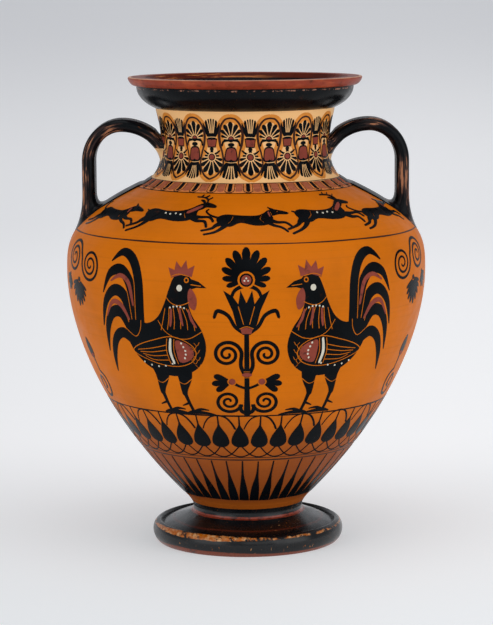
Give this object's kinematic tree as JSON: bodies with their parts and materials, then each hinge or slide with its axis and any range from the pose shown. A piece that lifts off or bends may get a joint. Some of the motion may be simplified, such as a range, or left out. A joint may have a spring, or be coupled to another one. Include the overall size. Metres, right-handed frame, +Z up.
{
  "type": "neck amphora",
  "caption": "Two-handled clay storage jar with an offset neck, a flanged mouth, reeded handles and a disc foot; black figures on orange clay.",
  "frame": {"origin": "centre of the foot's flat resting ring, on the surface that the jar stands on", "axes": "+Z up along the jar's axis, +X through the right handle, -Y towards the viewer of the front"},
  "size_m": [0.33, 0.33, 0.43],
  "materials": {
    "body_clay": "burnished orange fired clay, satin",
    "neck_clay": "paler fired clay, satin",
    "black_slip": "black sintered slip, glossy, worn to brown and orange at edges",
    "added_red": "matt purple-red painted over the slip",
    "added_white": "matt cream white painted over the slip"
  },
  "bodies": {
    "root": {"foot_disc": "black_slip", "foot_collar": "black_slip", "body_lower": "body_clay", "body_shoulder": "body_clay", "neck": "neck_clay", "mouth": "black_slip", "handle_left_reed_front": "black_slip", "handle_left_reed_middle": "black_slip", "handle_left_reed_back": "black_slip", "handle_left_lower_root": "black_slip", "handle_left_upper_root": "black_slip", "handle_right_reed_front": "black_slip", "handle_right_reed_middle": "black_slip", "handle_right_reed_back": "black_slip", "handle_right_lower_root": "black_slip", "handle_right_upper_root": "black_slip"}
  },
  "joints": []
}
